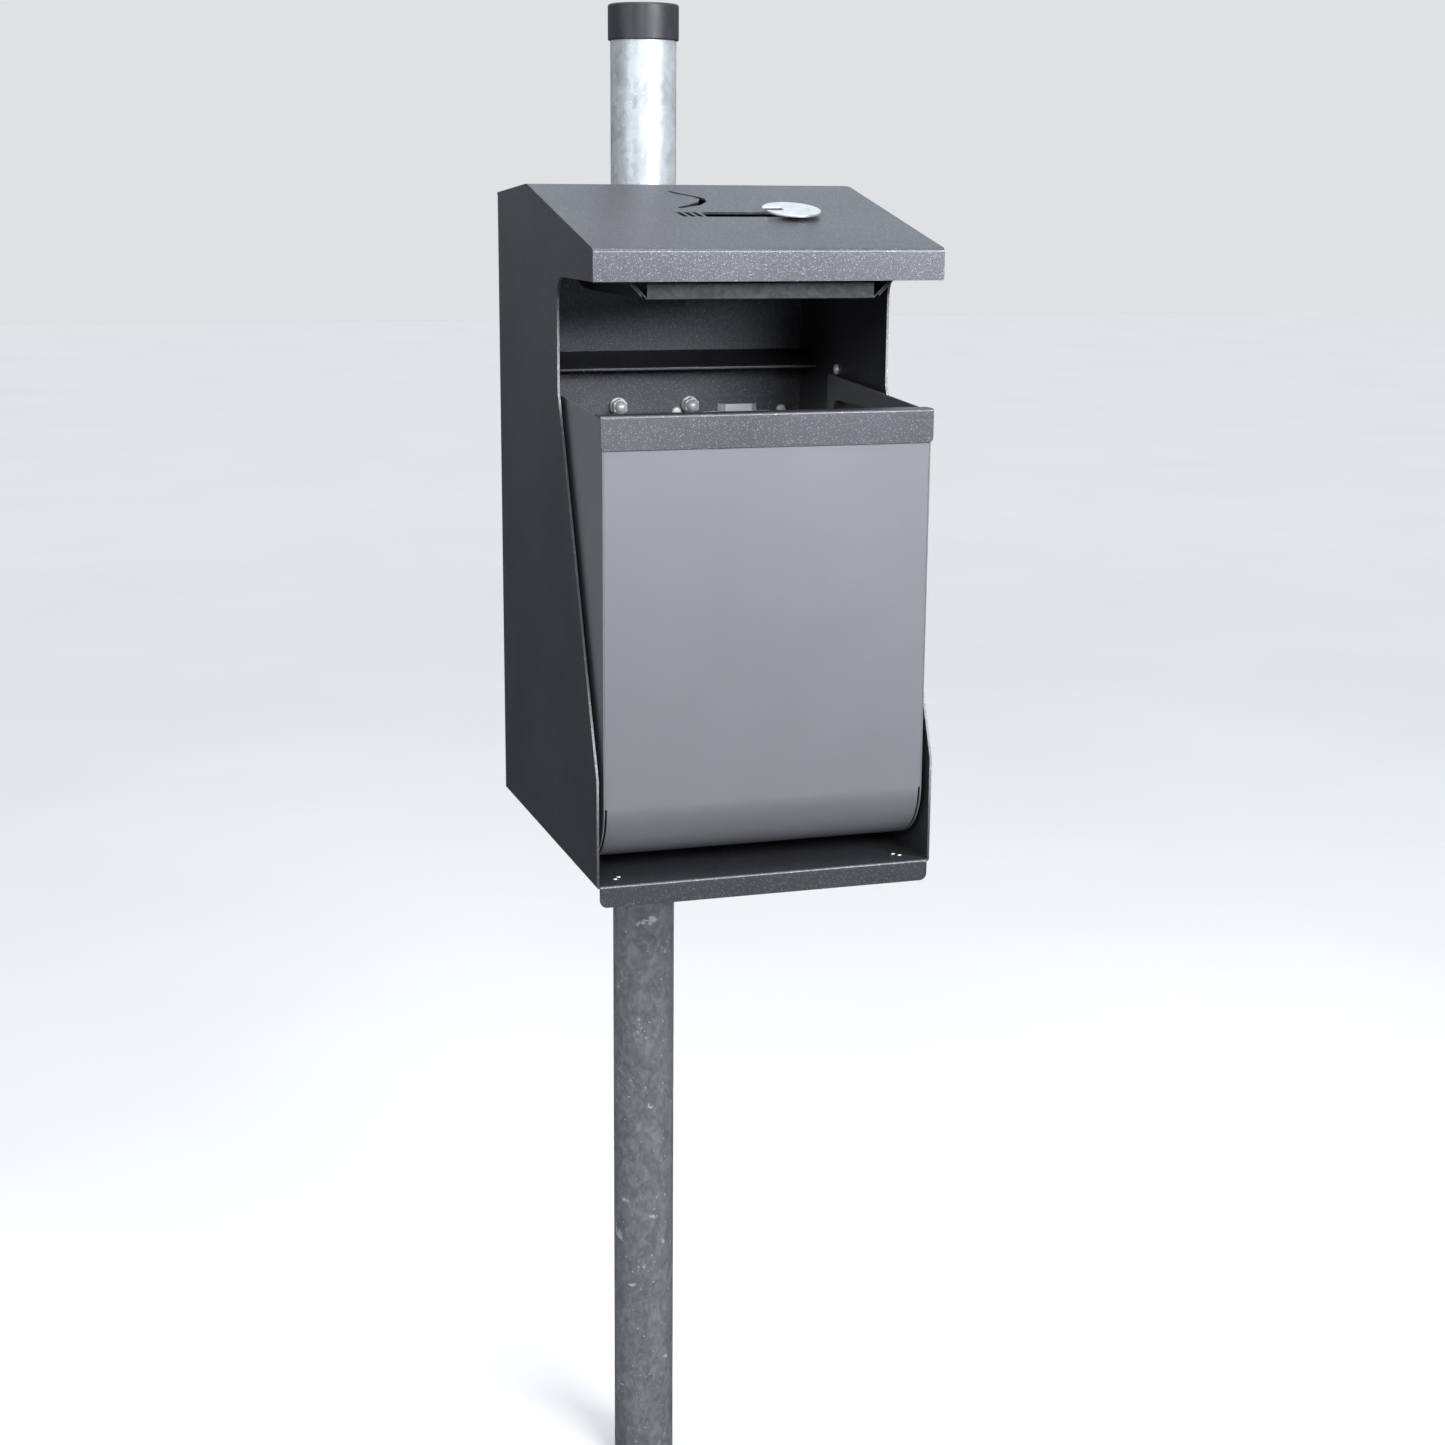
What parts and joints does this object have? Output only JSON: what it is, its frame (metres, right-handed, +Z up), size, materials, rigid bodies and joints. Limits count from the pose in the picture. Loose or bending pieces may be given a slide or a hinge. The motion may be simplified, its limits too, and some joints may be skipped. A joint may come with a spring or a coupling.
{
  "type": "post-mounted litter bin",
  "caption": "Folded steel litter bin clamped to a galvanised post, with a roof ash tray on rails and a roll-bottomed liner that tips forward and lifts out.",
  "frame": {"origin": "on the post axis at ground level", "axes": "+Z up along the post, the throw-in side faces -Y, +X to the right seen from the front"},
  "size_m": [0.29, 0.4135, 1.803],
  "materials": {
    "galvanised": "hot-dip galvanised, spangled",
    "coated_dark": "dark powder coat, fine metallic texture",
    "coated_light": "smooth light grey coat",
    "zinc_bright": "bright zinc plated",
    "zinc_sheet": "galvanised sheet",
    "disc_metal": "satin",
    "cap_plastic": "satin black",
    "bush_plastic": "matt black"
  },
  "bodies": {
    "housing": {"post": "galvanised", "post_cap": "cap_plastic", "ground_rod": "galvanised", "back_panel": "coated_dark", "side_panel_left": "coated_dark", "side_panel_right": "coated_dark", "floor_panel": "coated_dark", "roof_panel": "coated_dark", "rear_deflector": "coated_dark", "stub_disc": "disc_metal", "stub_spacer": "disc_metal", "stub_nut": "zinc_bright", "tray_rail_left": "zinc_sheet", "tray_rail_right": "zinc_sheet", "upper_u_bolt": "zinc_bright", "lower_u_bolt": "zinc_bright", "upper_saddle": "galvanised", "lower_saddle": "galvanised", "clamp_washers": "zinc_bright", "clamp_nuts": "zinc_bright", "back_bracket": "zinc_bright", "bracket_screws": "zinc_bright", "hole_plugs": "zinc_bright", "cradle_left": "coated_dark", "cradle_right": "coated_dark", "guide_buttons": "zinc_bright", "liner_rest": "coated_dark"},
    "ash_tray": {"ash_tray": "zinc_sheet"},
    "liner_carrier": {"liner_bush_left": "bush_plastic", "liner_bush_right": "bush_plastic"},
    "liner": {"liner_wrap": "coated_light", "liner_cheek_left": "coated_light", "liner_cheek_right": "coated_light", "liner_back": "coated_light", "liner_trim": "coated_dark", "liner_pins": "zinc_bright"}
  },
  "joints": [
    {"name": "tray_slide", "type": "slide", "parent": "housing", "child": "ash_tray", "axis": [0, -1, 0], "range_m": [0, 0.15]},
    {"name": "liner_lift", "type": "slide", "parent": "housing", "child": "liner_carrier", "axis": [0, 0, 1], "range_m": [0, 0.03]},
    {"name": "liner_tip", "type": "hinge", "parent": "liner_carrier", "child": "liner", "pos_m": [0, -0.31965, 0.8025], "axis": [1, 0, 0], "range_deg": [-17, 0]}
  ]
}
